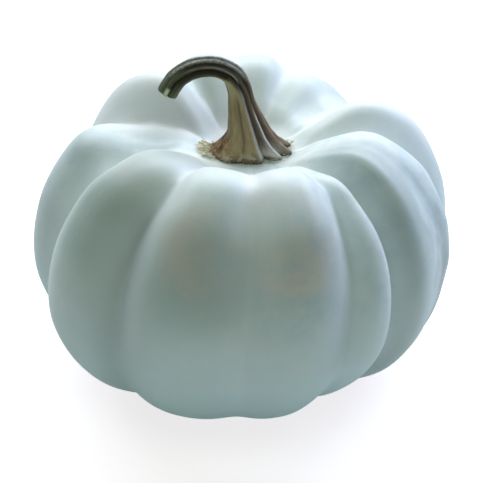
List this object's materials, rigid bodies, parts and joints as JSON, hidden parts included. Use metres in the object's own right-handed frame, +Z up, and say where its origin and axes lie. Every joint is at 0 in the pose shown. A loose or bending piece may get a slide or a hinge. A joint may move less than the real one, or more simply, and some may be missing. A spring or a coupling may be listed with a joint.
{
  "type": "pumpkin",
  "caption": "Small white pumpkin: a flattened, deeply ribbed fruit with a sunken top and a dried, ridged stem that hooks over.",
  "frame": {"origin": "middle of the whole part's box seen from above, on the plane the fruit rests on", "axes": "+Z up along the fruit's axis, -Y towards the side seen in the picture, +X to that view's right"},
  "size_m": [0.097, 0.0956, 0.0804],
  "materials": {
    "white_rind": "satin",
    "dried_stem": "dry, fibrous"
  },
  "bodies": {
    "root": {"fruit": "white_rind", "stem": "dried_stem"}
  },
  "joints": []
}
